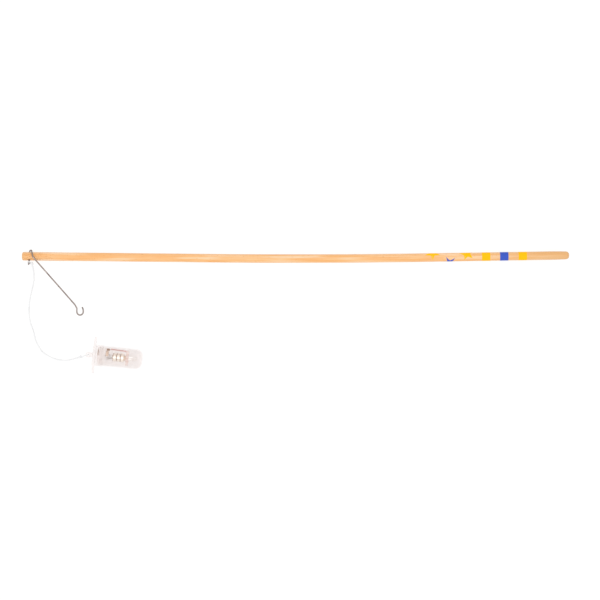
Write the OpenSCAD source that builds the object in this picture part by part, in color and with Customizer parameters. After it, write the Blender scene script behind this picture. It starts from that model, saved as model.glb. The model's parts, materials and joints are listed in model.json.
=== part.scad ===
// Child's lantern stick: a bowed beech dowel with a swinging wire hook in a cross hole at one end,
// and a small battery lamp on a short cord. It lies flat: +X runs along the stick to the grip end,
// +Z is up, and the table is at z = 0.

/* [Stick] */
// Length of the dowel along its axis
stick_len = 520; // [400:5:700]
// Diameter of the dowel
stick_d = 8; // [7:0.5:10]
// How far the dowel is bent in all, in degrees
bow_angle = 1.53; // [0.5:0.01:3]
// Distance of the hook hole from the hook end
hook_hole_x = 6.9; // [5:0.1:12]
// Diameter of the hook hole
hook_hole_d = 2.1; // [1.8:0.1:2.4]
// Tilt of the hook hole out of the table's plane
hook_tilt = 28; // [20:1:35]

/* [Hook] */
// Diameter of the spring-steel wire
wire_d = 1.3; // [1.1:0.05:1.4]
// Distance from the hole's axis to the wire's leg on top of the stick
leg_lift = 4.85; // [4.85:0.05:5.5]
// Width of the hook's U, between wire centres
throat_w = 6; // [5.8:0.1:7]

/* [Lamp] */
// Diameter of the clear barrel
barrel_d = 19.6; // [19:0.1:19.8]
// Diameter of the wing cap's skirt
cap_d = 20.2; // [20:0.1:21]
// Distance from the eyelet's centre to the barrel's round end
lamp_len = 51.8; // [51:0.1:56]
// Distance between the wing tips
wing_span = 35.2; // [30:0.1:40]
// Width of a wing, across the lamp
wing_w = 11; // [8:0.5:14]
// Direction of the lamp on the table, in degrees from +X
lamp_turn = -5.3; // [-10:0.1:0]

/* [Cells] */
// Number of button cells
cell_count = 3; // [2:1:3]
// Diameter of a button cell
cell_d = 7.9; // [7.5:0.1:7.9]
// Thickness of a button cell
cell_t = 3.6; // [3.2:0.1:3.6]

/* [Cord] */
// Diameter of the twisted cord
cord_d = 1.6; // [1.2:0.1:1.8]

/* [Hidden] */

$fn = 64;
gap = 0.05;      // radial clearance of a running fit
clear = 0.25;    // clearance between the lamp's loop and its eyelet

// Stick
stick_r = stick_d / 2;
hook_end_len = 170;    // straight length at the hook end
grip_end_len = 130;    // straight length at the grip end
bow_steps = 12;
bow_sides = 48;
bow_len = stick_len - hook_end_len - grip_end_len;
bow_r = bow_len / (bow_angle * PI / 180);
chord_tilt = 0.155;    // how far the line between the ends is turned from +X
hook_end_dir = chord_tilt - bow_angle / 2;
grip_end_dir = chord_tilt + bow_angle / 2;
hook_end = [0.3 - stick_len / 2, 52.4, stick_r];
end_round = 1.1;       // rounding of the hook end's edge
grip_taper_len = 16;
grip_taper = 0.25;
grip_round = 3.4;      // how long the rounding of the grip end's tip is

function heading(a) = [cos(a), sin(a), 0];
bow_start = hook_end + hook_end_len * heading(hook_end_dir);
bow_centre = bow_start + bow_r * heading(hook_end_dir + 90);
bow_end = bow_centre - bow_r * heading(grip_end_dir + 90);

// Hook. Its own frame has +Y along the hole towards the arch, and +Z out of the stick's top.
wire_r = wire_d / 2;
wire_sides = 12;
hook_hub = hook_end + hook_hole_x * heading(hook_end_dir);
ring_y = -6.8;         // where the cord's loop holds the tail
foot_y = -8.25;        // where the tail's foot turns down
foot_len = 1.2;
arch_y = 5.7;          // from the stick's axis to the arch that goes round its edge
leg_x = 2.3;           // from the hole to the leg
leg_lean = 1.6;        // how far the leg leans before its bend
leg_y = -3.3;          // where the leg bends away from the stick
shank_end = [-209.8, 6.3];   // where the straight shank stops
throat_x = -208;       // first leg of the hook's U
throat_y = -0.6;       // centre of the hook's U
throat_in = 3.6;       // straight leg of the U
tip_in = 4.6;          // from the U's centre to the tip
tip_lean = 1;          // how far the tip leans into the U

function tilted(p) = hook_hub + [p[0], p[1] * cos(hook_tilt) + p[2] * sin(hook_tilt),
    p[2] * cos(hook_tilt) - p[1] * sin(hook_tilt)];
leg_bend = tilted([leg_x + leg_lean, leg_y, leg_lift]);
throat_c = [throat_x + throat_w / 2, throat_y];
shank_run = throat_c - [leg_bend[0], leg_bend[1]];
shank_dir = shank_run / norm(shank_run);
shank_fall = (leg_bend[2] - wire_r) / (norm(shank_run) + throat_w / 2);
// The shank and the U share one plane, which falls from the stick's top to the table.
function on_hook(x, y) = [x, y, leg_bend[2] - shank_fall * ([x - leg_bend[0], y - leg_bend[1]] * shank_dir)];
hook_path = [
    tilted([-foot_len / 2, foot_y, -foot_len]),
    tilted([0, foot_y, 0]),
    tilted([0, arch_y / cos(hook_tilt), 0]),
    tilted([leg_x, arch_y / cos(hook_tilt) - leg_lift * tan(hook_tilt), leg_lift]),
    leg_bend,
    on_hook(shank_end[0], shank_end[1]),
    on_hook(throat_x, throat_y + throat_in),
    on_hook(throat_x, throat_y - throat_w / 2),
    on_hook(throat_x + throat_w, throat_y - throat_w / 2),
    on_hook(throat_x + throat_w, throat_y + tip_in / 2),
    on_hook(throat_x + throat_w - tip_lean, throat_y + tip_in)];
hook_bends = [0, 0.9, 1.1, 1.1, 1.2, 2.5, 2, throat_w / 2 - 0.01, throat_w / 2 - 0.01, 2.5, 0];

// Lamp. Its own frame starts at the eyelet's centre, with +X along the barrel.
lamp_z = cap_d / 2;
eyelet = [-196.3, -41.1, lamp_z];
eyelet_d = 5.2;
eyelet_hole_d = 2.6;
eyelet_t = 2.6;
neck_w = 4.6;
wing_x = 4.2;          // front face of the wings
wing_root_t = 3.2;
wing_tip_t = 1.8;
skirt_x = 7.2;         // where the skirt starts
skirt_end = 14.4;
skirt_bottom = 9.2;    // floor of the skirt's bore
bore_d = 17.3;         // bore of the skirt and of the barrel
boss_x = 10.4;
spigot_end = 16.9;
spigot_wall = 1.2;
lens_x = 14.7;
lens_end_r = 6;        // rounding of the barrel's end
rib_x = 37;
rib_pitch = 1.9;
rib_count = 5;
rib_depth = 0.45;
tray_x = 16.6;
tray_end = 36;
tray_outer = 6.9;      // half width of the tray
tray_floor = -5.6;
tray_top = 1.6;
cells_x = 23.2;
cells_end = cells_x + cell_count * cell_t;
led_x = 38.1;
led_d = 5;
spring_turns = 4;

// Cord. Route of its centre line, from the hook knot to the lamp knot.
hook_knot_at = tilted([2.75, ring_y - 1.18, 0]);
lamp_knot_at = [-203.9, -43.4, 7.2];
route = [
    [-249.8, 44.4, 7.5], [-249.2, 41.2, 6.5], [-248.8, 37.6, 4.3], [-248.8, 34, 2.2],
    [-248.9, 29.4, 1.1], [-250.4, 22.2, 0.9], [-252.1, 15, 0.9], [-253.4, 6, 0.9],
    [-253.6, -2.2, 0.9], [-252.4, -10.3, 0.9], [-249.3, -19.4, 0.9], [-246.9, -28.5, 0.9],
    [-241.7, -37.7, 0.9], [-234.7, -42.8, 0.9], [-227.1, -45.8, 0.9], [-218.9, -46.8, 1],
    [-213.4, -45.9, 1.8], [-208.6, -44.6, 4.3], [-204.6, -43.6, 6.8]];
rings_per_span = 2;
cord_sides = 8;
strand_d = 1.1;        // the cord drawn tight in its loops
strand_r = strand_d / 2;

// ---------- Helpers ----------

function unit(v) = v / norm(v);

// Points round the inner corner i of a path, on an arc of radius r.
function corner_arc(path, i, r, steps) =
    let(p = path[i], a = unit(path[i - 1] - p), b = unit(path[i + 1] - p),
        half = acos(a * b) / 2, centre = p + unit(a + b) * r / sin(half),
        from = p + a * r / tan(half) - centre, side = cross(unit(cross(a, b)), from),
        turn = 180 - 2 * half)
    [for (k = [0 : steps]) centre + cos(turn * k / steps) * from - sin(turn * k / steps) * side];

// A path with each inner corner rounded to its own radius.
function rounded(path, r, steps) = concat([path[0]],
    [for (i = [1 : len(path) - 2]) each corner_arc(path, i, r[i], steps)],
    [path[len(path) - 1]]);

// Point at t, from 0 to 1, on the smooth curve from point i to point i + 1.
function on_curve(p, i, t) =
    let(a = p[max(i - 1, 0)], b = p[i], c = p[i + 1], d = p[min(i + 2, len(p) - 1)])
    0.5 * (2 * b + (c - a) * t + (2 * a - 5 * b + 4 * c - d) * t * t
        + (3 * b - a - 3 * c + d) * t * t * t);
function smooth(p, n) = concat(
    [for (i = [0 : len(p) - 2], k = [0 : n - 1]) on_curve(p, i, k / n)], [p[len(p) - 1]]);

// Direction of a path at point i.
function along(p, i) = unit(p[min(i + 1, len(p) - 1)] - p[max(i - 1, 0)]);

// Sideways direction at point i, carried along from the start so that the tube doesn't twist.
function sideways(p, i) =
    let(t = along(p, i), last = i == 0 ? [0.3, 0.5, 0.8] : sideways(p, i - 1))
    unit(last - (last * t) * t);

// Tube with flat ends swept along points, as one polyhedron.
module swept_tube(p, d, sides) {
    n = len(p);
    ring_points = [for (i = [0 : n - 1])
        let(u = sideways(p, i), v = cross(along(p, i), u))
        each [for (k = [0 : sides - 1])
            p[i] + d / 2 * (cos(360 * k / sides) * u + sin(360 * k / sides) * v)]];
    walls = [for (i = [0 : n - 2], k = [0 : sides - 1])
        let(j = (k + 1) % sides)
        each [[i * sides + k, (i + 1) * sides + k, i * sides + j],
              [i * sides + j, (i + 1) * sides + k, (i + 1) * sides + j]]];
    first = [for (k = [0 : sides - 1]) k];
    end = [for (k = [sides - 1 : -1 : 0]) (n - 1) * sides + k];
    polyhedron(ring_points, concat([first], walls, [end]));
}

// Points on an arc about a centre, from angle a to angle b.
function arc(centre, r, a, b, steps = 8) =
    [for (i = [0 : steps]) centre + r * [cos(a + (b - a) * i / steps), sin(a + (b - a) * i / steps)]];

// Places a piece in the lamp's own frame.
module in_lamp() {
    translate(eyelet) rotate([0, 0, lamp_turn]) children();
}

// Round bar along the lamp's axis, from x0 to x1.
module round_x(x0, x1, d) {
    translate([x0, 0, 0]) rotate([0, 90, 0]) cylinder(d = d, h = x1 - x0);
}

// Block in the lamp's frame, between two corners.
module block(a, b) {
    translate(a) cube(b - a);
}

// ---------- Stick and hook ----------

module hook_end_turned() {
    rotate_extrude()
        polygon([[0, 0], [stick_r - 2 * end_round, 0.1], [stick_r - end_round, 0.3],
            [stick_r - end_round / 3, 0.7], [stick_r, end_round + 0.3], [stick_r, hook_end_len],
            [0, hook_end_len]]);
}

module grip_end_turned() {
    taper_start = grip_end_len - grip_taper_len;
    tip = grip_end_len - grip_round;
    tip_r = stick_r - grip_taper;
    rotate_extrude()
        polygon([[0, 0], [stick_r, 0], [stick_r, taper_start], [tip_r, tip],
            [tip_r - 0.3, tip + 1.4], [tip_r - 0.85, tip + 2.3], [tip_r - 1.7, tip + 3],
            [0, grip_end_len]]);
}

// The bowed middle, which reaches a little way into both straight ends.
module bow() {
    into = 0.5;
    points = concat([bow_start - into * heading(hook_end_dir)],
        [for (i = [0 : bow_steps])
            bow_centre - bow_r * heading(hook_end_dir + bow_angle * i / bow_steps + 90)],
        [bow_end + into * heading(grip_end_dir)]);
    swept_tube(points, stick_d - 0.02, bow_sides);
}

module dowel() {
    color("#f6c491") difference() {
        union() {
            translate(hook_end) rotate([0, 90, hook_end_dir]) hook_end_turned();
            bow();
            translate(bow_end) rotate([0, 90, grip_end_dir]) grip_end_turned();
        }
        translate(hook_hub) rotate([90 - hook_tilt, 0, 0])
            cylinder(d = hook_hole_d, h = 4 * stick_r, center = true);
    }
}

module hook_wire() {
    color("#4c4742") swept_tube(rounded(hook_path, hook_bends, 6), wire_d, wire_sides);
}

// ---------- Cord ----------

module cord() {
    color("white") swept_tube(smooth(route, rings_per_span), cord_d, cord_sides);
}

module hook_loop() {
    color("white") translate(tilted([0, ring_y, 0])) rotate([90 - hook_tilt, 0, 0])
        rotate_extrude() translate([wire_r + strand_r + gap, 0]) circle(r = strand_r);
}

module hook_knot() {
    color("white") translate(hook_knot_at) sphere(r = 1.35);
}

// The loop stands upright: down through the eyelet, and out over and under its rim to the knot.
module lamp_loop() {
    out = unit([lamp_knot_at[0] - eyelet[0], lamp_knot_at[1] - eyelet[1]]);
    reach = norm([lamp_knot_at[0] - eyelet[0], lamp_knot_at[1] - eyelet[1]]);
    rise = eyelet_t / 2 + strand_r + clear / 2;
    over = eyelet_d / 2 + 0.6;
    function at(d, z) = eyelet + [out[0] * d, out[1] * d, z];
    drop = lamp_knot_at[2] - eyelet[2];
    color("white") swept_tube(rounded([at(reach, drop + 0.6), at(over, rise), at(0, rise),
        at(0, -rise), at(over, -rise - 0.2), at(reach, drop - 0.4)],
        [0, 0.9, 0.9, 0.9, 0.9, 0], 5), strand_d, 10);
}

module lamp_knot() {
    color("white") translate(lamp_knot_at) sphere(r = 1.5);
}

// ---------- Lamp shell ----------

// One wing, from the lamp's axis out to its tip on the side given by sign.
module wing(sign) {
    tip = wing_span / 2;
    translate([0, 0, -wing_w / 2]) linear_extrude(wing_w)
        polygon([[wing_x, 0], [wing_x, sign * 7], [wing_x + 0.9, sign * (tip - 0.5)],
            [wing_x + 1.2, sign * tip], [wing_x + 0.7 + wing_tip_t, sign * tip],
            [wing_x + 0.9 + wing_tip_t, sign * (tip - 0.5)], [wing_x + wing_root_t, sign * 7],
            [wing_x + wing_root_t, 0]]);
}

// Rounds the wings' outline as seen along the lamp.
module wing_outline() {
    corner = 3;
    translate([wing_x - 1, 0, 0]) rotate([0, 90, 0])
        linear_extrude(wing_root_t + 2) union() {
            square([wing_w - 2 * corner, wing_span], center = true);
            square([wing_w, wing_span - 2 * corner], center = true);
            for (z = [-1, 1], y = [-1, 1])
                translate([z * (wing_w / 2 - corner), y * (wing_span / 2 - corner)]) circle(r = corner);
        }
}

module wing_cap() {
    color([0.95, 0.94, 0.93, 0.5]) in_lamp() difference() {
        union() {
            intersection() {
                union() {
                    wing(1);
                    wing(-1);
                }
                wing_outline();
            }
            round_x(skirt_x, skirt_end, cap_d);
            translate([0, 0, -eyelet_t / 2]) cylinder(d = eyelet_d, h = eyelet_t);
            block([1, -neck_w / 2, -eyelet_t / 2], [wing_x + 1, neck_w / 2, eyelet_t / 2]);
        }
        translate([0, 0, -eyelet_t]) cylinder(d = eyelet_hole_d, h = 2 * eyelet_t);
        round_x(skirt_bottom, skirt_end + 1, bore_d);
    }
}

module switch_bridge() {
    color("#c58b4a") in_lamp() translate([skirt_bottom, 0, 0]) rotate([0, 90, 0])
        linear_extrude(0.3) difference() {
            circle(r = 6.5);
            circle(r = 3.8);
            translate([-8, -16]) square(16);
        }
}

module carrier() {
    color([0.93, 0.92, 0.9, 0.6]) in_lamp() {
        difference() {
            round_x(boss_x, spigot_end, bore_d - 2 * gap);
            round_x(boss_x - 1, spigot_end - spigot_wall, bore_d - 2 * gap - 2 * spigot_wall);
            round_x(boss_x, spigot_end + 1, 3);
        }
        difference() {
            intersection() {
                block([tray_x, -tray_outer, tray_floor], [tray_end, tray_outer, tray_top]);
                round_x(tray_x, tray_end, bore_d - 0.6);
            }
            round_x(spigot_end, tray_end + 1, cell_d + 0.5);
            block([spigot_end, -cell_d / 2 - 0.25, 0], [tray_end + 1, cell_d / 2 + 0.25, tray_top + 1]);
        }
    }
}

// Clear barrel with a rounded end, and grooves inside that throw the light outwards.
module lens() {
    straight_end = lamp_len - lens_end_r;
    outer_r = barrel_d / 2;
    inner_r = bore_d / 2;
    wall = outer_r - inner_r;
    corner = [outer_r - lens_end_r, straight_end];
    grooves = [for (i = [rib_count - 1 : -1 : 0])
        let(x = rib_x + i * rib_pitch, deep = inner_r + rib_depth)
        each [[inner_r, x + rib_pitch / 2], [deep, x + rib_pitch / 2], [deep, x], [inner_r, x]]];
    color([0.97, 0.96, 0.95, 0.35]) in_lamp() rotate([0, 90, 0]) rotate_extrude()
        polygon(concat([[outer_r, lens_x]], arc(corner, lens_end_r, 0, 90),
            [[0, lamp_len], [0, lamp_len - wall]], arc(corner, lens_end_r - wall, 90, 0),
            grooves, [[inner_r, lens_x]]));
}

// ---------- Inside the lamp ----------

module cell(i) {
    rim = 0.35;
    x = cells_x + i * cell_t;
    color("#b9b6ae") in_lamp() difference() {
        round_x(x, x + cell_t - 0.02, cell_d);
        difference() {
            round_x(x - 1, x + 0.45, cell_d + 1);
            round_x(x - 2, x + 1, cell_d - 4 * rim);
        }
    }
}

// Conical coil spring that presses the cells together.
module cell_spring() {
    start = spigot_end + 0.7;
    rise = cells_x - 0.3 - start;
    turns = spring_turns * 360;
    steps = spring_turns * 14;
    color("#a9a9a4") in_lamp() swept_tube(
        [for (i = [0 : steps])
            let(t = i / steps, r = 3.1 - 1.2 * t)
            [start + rise * t, r * cos(turns * t), r * sin(turns * t)]], 0.5, 8);
}

// Bronze strip that stands on the spigot's face and folds over towards the resistor.
module end_contact() {
    top = tray_top + 3;
    color("#9c6a3c") in_lamp() {
        block([spigot_end, 0.5, -2], [spigot_end + 0.4, 4, top]);
        block([spigot_end, 0.5, tray_top + 0.1], [spigot_end + 0.4, 5.6, top]);
        block([spigot_end, 0.5, top - 0.4], [spigot_end + 2.7, 5.6, top]);
    }
}

module far_contact() {
    color("#9c6a3c") in_lamp() {
        block([cells_end, -2.2, -3.2], [cells_end + 0.4, 2.2, 3.2]);
        block([cells_end, -2.2, 2.8], [tray_end, 2.2, 3.2]);
    }
}

module resistor() {
    body_x = spigot_end + 0.6;
    color("#8a6f52") in_lamp() translate([body_x, 6.7, tray_top + 1.15]) rotate([0, 90, 0]) {
        cylinder(d = 2.2, h = 3);
        translate([0, 0, 2.8]) cylinder(d = 0.6, h = 1);
    }
}

// Insulated wire from the resistor to the LED.
module red_lead() {
    z = tray_top + 0.65;
    start = spigot_end + 4.4;
    color("#7c1f1c") in_lamp() swept_tube(smooth(
        [[start, 7.2, z], [24.5, 7.15, z], [29.5, 6.8, z], [33, 6.7, z], [tray_end, 6.3, z]], 3),
        1.2, 10);
}

module led_seat() {
    color("#d99a8c") in_lamp() difference() {
        round_x(tray_end, led_x, 14);
        round_x(tray_end - 1, led_x + 1, 3);
        block([tray_end - 1, -8, 4.8], [led_x + 1, 8, 9]);
        for (y = [-3.1, 3.1])
            block([tray_end - 1, y - 0.5, -0.5], [led_x + 1, y + 0.5, 0.5]);
    }
}

module led() {
    dome_x = led_x + 6.1;
    color([0.95, 0.9, 0.75, 0.7]) in_lamp() {
        round_x(led_x, led_x + 1, led_d + 0.8);
        round_x(led_x, dome_x, led_d);
        translate([dome_x, 0, 0]) sphere(d = led_d);
    }
}

module led_leads() {
    color("#b5b5b5") in_lamp()
        for (y = [-0.9, 0.9])
            block([tray_end - 1.2, y - 0.25, -0.25], [led_x, y + 0.25, 0.25]);
}

// ---------- Assembly ----------

dowel();
hook_wire();
cord();
hook_loop();
hook_knot();
lamp_loop();
lamp_knot();
wing_cap();
switch_bridge();
carrier();
lens();
cell(0);  // cell_1
cell(1);  // cell_2
cell(2);  // cell_3
cell_spring();
end_contact();
far_contact();
resistor();
red_lead();
led_seat();
led();
led_leads();
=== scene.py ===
"""A child's lantern stick: the looks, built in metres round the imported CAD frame."""

import json
import math

import bmesh
import bpy
from mathutils import Matrix, Vector


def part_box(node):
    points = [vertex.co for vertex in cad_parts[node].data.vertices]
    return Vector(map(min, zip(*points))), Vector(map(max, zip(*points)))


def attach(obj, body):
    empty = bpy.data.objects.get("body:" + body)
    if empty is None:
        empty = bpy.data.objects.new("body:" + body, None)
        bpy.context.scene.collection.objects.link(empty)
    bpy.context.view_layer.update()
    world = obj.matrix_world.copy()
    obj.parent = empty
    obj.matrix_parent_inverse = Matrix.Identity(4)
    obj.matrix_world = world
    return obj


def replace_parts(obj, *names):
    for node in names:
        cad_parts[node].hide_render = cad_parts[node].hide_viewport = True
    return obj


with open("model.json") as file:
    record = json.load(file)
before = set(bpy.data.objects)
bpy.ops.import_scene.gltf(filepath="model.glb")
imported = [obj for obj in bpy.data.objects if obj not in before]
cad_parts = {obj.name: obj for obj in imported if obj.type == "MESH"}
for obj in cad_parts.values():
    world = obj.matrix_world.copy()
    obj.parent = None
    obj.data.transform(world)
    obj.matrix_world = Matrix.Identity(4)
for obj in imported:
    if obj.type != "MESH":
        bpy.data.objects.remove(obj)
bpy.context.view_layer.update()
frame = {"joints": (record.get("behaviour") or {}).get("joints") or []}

MM = 0.001
JOINTS = {joint["name"]: joint for joint in frame["joints"]}

# ---------- Sizes, as the CAD has them ----------

STICK_R = 4 * MM
STICK_LEN = 520 * MM
HOOK_END = Vector((-259.7, 52.4, 4)) * MM
HOOK_END_LEN = 170 * MM
GRIP_END_LEN = 130 * MM
BOW_ANGLE = math.radians(1.53)
CHORD_TILT = math.radians(0.155)
BOW_LEN = STICK_LEN - HOOK_END_LEN - GRIP_END_LEN
BOW_R = BOW_LEN / BOW_ANGLE
WIRE_R = 0.65 * MM

HOLE = Vector(JOINTS["hook_swing"]["pos_m"])
HOLE_AXIS = Vector(JOINTS["hook_swing"]["axis"]).normalized()
HOLE_R = 1.05 * MM
EYELET = Vector(JOINTS["lamp_swing"]["pos_m"])
LAMP_AXIS = Vector(JOINTS["switch_turn"]["axis"]).normalized()
UP = Vector((0, 0, 1))
LAMP_SIDE = UP.cross(LAMP_AXIS)

# The lamp's parts are in millimetres, with x along its axis from the eyelet's centre.
BARREL_R = 9.8
BORE_R = 8.65
LENS_X, LENS_END = 14.7, 51.8
GROOVE_PITCH = 1.9
EYELET_R, EYELET_HALF_T = 2.6, 1.3
SPIGOT_END = 16.9
TRAY_END = 36
CELL_X, CELL_R, CELL_T = 23.2, 3.95, 3.6
RESISTOR_LEN = 3.8
LED_X, LED_R = 38.1, 2.5

# The cord as it lies, and as it is drawn tight in its loops and knots.
CORD_D = 1.6 * MM
STRAND_D = 1.1 * MM
ROUTE = [Vector(p) * MM for p in (
    (-249.8, 44.4, 7.5), (-249.2, 41.2, 6.5), (-248.8, 37.6, 4.3), (-248.8, 34, 2.2),
    (-248.9, 29.4, 1.1), (-250.4, 22.2, 0.9), (-252.1, 15, 0.9), (-253.4, 6, 0.9),
    (-253.6, -2.2, 0.9), (-252.4, -10.3, 0.9), (-249.3, -19.4, 0.9), (-246.9, -28.5, 0.9),
    (-241.7, -37.7, 0.9), (-234.7, -42.8, 0.9), (-227.1, -45.8, 0.9), (-218.9, -46.8, 1),
    (-213.4, -45.9, 1.8), (-208.6, -44.6, 4.3), (-204.6, -43.6, 6.8))]

# ---------- Sizes that only the looks have ----------

# How far the print stands out of the wood, and how far it reaches into it.
INK_OUT, INK_IN = 0.035 * MM, 0.03 * MM
BAND_W = 8 * MM
# Edges that turn by more than this many degrees stay sharp.
SHARP = 35


# ---------- Camera ----------

def make_camera():
    """Straight above, with a long lens, as the stick lies on the table."""
    height = 2.0
    seen_width = 0.5706
    data = bpy.data.cameras.new("camera")
    data.sensor_width = 36
    data.lens = data.sensor_width * (height - STICK_R) / seen_width
    data.clip_end = 10
    camera = bpy.data.objects.new("camera", data)
    camera.location = (0.0045, 0.01075, height)
    bpy.context.scene.collection.objects.link(camera)
    bpy.context.scene.camera = camera


make_camera()


# ---------- Mesh helpers ----------

def smooth_route(points, steps):
    """Points on a smooth curve through the given ones, as the CAD draws it."""
    out = []
    for i in range(len(points) - 1):
        a, b = points[max(i - 1, 0)], points[i]
        c, d = points[i + 1], points[min(i + 2, len(points) - 1)]
        for k in range(steps):
            t = k / steps
            out.append(0.5 * (2 * b + (c - a) * t + (2 * a - 5 * b + 4 * c - d) * t * t
                              + (3 * b - a - 3 * c + d) * t ** 3))
    return out + [points[-1]]


def rounded(points, radii, steps=8):
    """A path with each inner corner rounded to its own radius."""
    out = [points[0]]
    for i in range(1, len(points) - 1):
        p = points[i]
        a, b = (points[i - 1] - p).normalized(), (points[i + 1] - p).normalized()
        half = a.angle(b) / 2
        centre = p + (a + b).normalized() * radii[i] / math.sin(half)
        start = p + a * radii[i] / math.tan(half) - centre
        axis = a.cross(b).normalized()
        turn = math.pi - 2 * half
        for k in range(steps + 1):
            out.append(centre + Matrix.Rotation(-turn * k / steps, 3, axis) @ start)
    return out + [points[-1]]


def even(points, gap):
    """The same path with points about gap apart."""
    out = [points[0]]
    for a, b in zip(points, points[1:]):
        n = max(1, round((b - a).length / gap))
        out += [a.lerp(b, k / n) for k in range(1, n + 1)]
    return out


def carried(points, closed=False):
    """Length so far, and two sideways directions at each point that don't twist."""
    n = len(points)
    frames, length, side = [], 0, Vector((0.3, 0.5, 0.8))
    for i, p in enumerate(points):
        before = points[i - 1] if i or closed else p
        after = points[(i + 1) % n] if i < n - 1 or closed else p
        along = (after - before).normalized()
        side = (side - side.dot(along) * along).normalized()
        if i:
            length += (p - points[i - 1]).length
        frames.append((length, side.copy(), along.cross(side)))
    return frames


def grain_layer(bm):
    """Where the vertices keep their places along and across a piece, for its material."""
    layers = bm.verts.layers.float_vector
    return layers.get("grain") or layers.new("grain")


def start_grain_at(bm, start):
    """Counts the length along the piece from start."""
    grain = grain_layer(bm)
    for vert in bm.verts:
        vert[grain] = (vert[grain].x - start, vert[grain].y, vert[grain].z)


def join_rings(bm, rings, closed=False):
    """A skin over rings of equally many vertices, with flat ends unless it is closed."""
    n = len(rings[0])
    pairs = list(zip(rings, rings[1:])) + ([(rings[-1], rings[0])] if closed else [])
    for a, b in pairs:
        for k in range(n):
            j = (k + 1) % n
            bm.faces.new((a[k], a[j], b[j], b[k]))
    if not closed:
        bm.faces.new(list(reversed(rings[0])))
        bm.faces.new(rings[-1])


def tube(bm, points, radius, sides, closed=False):
    """A round tube along points. radius is a number, or a function of the length so far."""
    grain = grain_layer(bm)
    rings = []
    for p, (s, u, v) in zip(points, carried(points, closed)):
        r = radius(s) if callable(radius) else radius
        ring = []
        for k in range(sides):
            a = 2 * math.pi * k / sides
            vert = bm.verts.new(p + r * (math.cos(a) * u + math.sin(a) * v))
            vert[grain] = (s, r * math.cos(a), r * math.sin(a))
            ring.append(vert)
        rings.append(ring)
    join_rings(bm, rings, closed)


def twisted(bm, points, diameter, pitch, closed=False):
    """Three strands laid round each other along points, once round in each pitch."""
    strands, sides = 3, 8
    strands_across = 1.95
    strand_r = diameter / 2 / strands_across
    lay = diameter / 2 - strand_r
    frames = carried(points, closed)
    total = frames[-1][0]
    turns = max(1, round(total / pitch))
    for k in range(strands):
        path = []
        for p, (s, u, v) in zip(points, frames):
            a = 2 * math.pi * (turns * s / total + k / strands)
            path.append(p + lay * (math.cos(a) * u + math.sin(a) * v))
        tube(bm, path, strand_r, sides, closed)


def lathe(bm, profile, place, sides):
    """Turns (length, radius) points about the line that place(length) gives."""
    grain = grain_layer(bm)
    rings = []
    for s, r in profile:
        centre, u, v = place(s)
        ring = []
        for a in ((0,) if r == 0 else (2 * math.pi * k / sides for k in range(sides))):
            vert = bm.verts.new(centre + r * (math.cos(a) * u + math.sin(a) * v))
            vert[grain] = (s, r * math.cos(a), r * math.sin(a))
            ring.append(vert)
        rings.append(ring)
    for a, b in zip(rings, rings[1:]):
        for k in range(sides if len(a) + len(b) > 2 else 0):
            j = (k + 1) % sides
            corners = [a[k % len(a)], a[j % len(a)], b[j % len(b)], b[k % len(b)]]
            bm.faces.new(list(dict.fromkeys(corners)))


def weld(bm, within=0.0001 * MM):
    """Makes one vertex of those that lie that close together."""
    bmesh.ops.remove_doubles(bm, verts=bm.verts, dist=within)


def mesh_object(name, bm):
    """An object in the scene, made of the mesh that bm holds."""
    mesh = bpy.data.meshes.new(name)
    bm.to_mesh(mesh)
    bm.free()
    obj = bpy.data.objects.new(name, mesh)
    bpy.context.scene.collection.objects.link(obj)
    return obj


def shade(mesh, sharp=SHARP):
    """Smooth but for edges sharper than the given angle, in degrees."""
    mesh.shade_smooth()
    mesh.set_sharp_from_angle(angle=math.radians(sharp))


def finish_piece(name, bm, body, material, sharp=SHARP):
    """Makes a visible piece of the mesh, riding on its body."""
    bmesh.ops.recalc_face_normals(bm, faces=bm.faces)
    obj = mesh_object(name, bm)
    obj.data.materials.append(material)
    shade(obj.data, sharp)
    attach(obj, body)
    return obj


def tool(bm):
    """A passing object for a boolean cut or join."""
    bmesh.ops.recalc_face_normals(bm, faces=bm.faces)
    return mesh_object("tool", bm)


def applied(obj):
    """Makes the object's modifiers part of its mesh."""
    shape = bpy.data.meshes.new_from_object(
        obj.evaluated_get(bpy.context.evaluated_depsgraph_get()))
    obj.modifiers.clear()
    obj.data = shape
    shade(shape)


def combine(obj, other, operation):
    """Cuts the other mesh out of the object, or joins it on, and removes the other."""
    step = obj.modifiers.new("shape", "BOOLEAN")
    step.object, step.operation, step.solver = other, operation, "EXACT"
    applied(obj)
    bpy.data.objects.remove(other)


def soften(obj, width, segments=3):
    """Rounds the object's sharp edges, once its flat faces are whole again."""
    flat = math.radians(0.5)
    bm = bmesh.new()
    bm.from_mesh(obj.data)
    weld(bm, 0.002 * MM)
    bmesh.ops.dissolve_limit(bm, angle_limit=flat, verts=bm.verts, edges=bm.edges)
    bm.to_mesh(obj.data)
    bm.free()
    step = obj.modifiers.new("edges", "BEVEL")
    step.width, step.segments, step.limit_method = width, segments, "ANGLE"
    step.angle_limit, step.harden_normals = math.radians(SHARP), False
    applied(obj)


# ---------- Material helpers ----------

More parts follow.
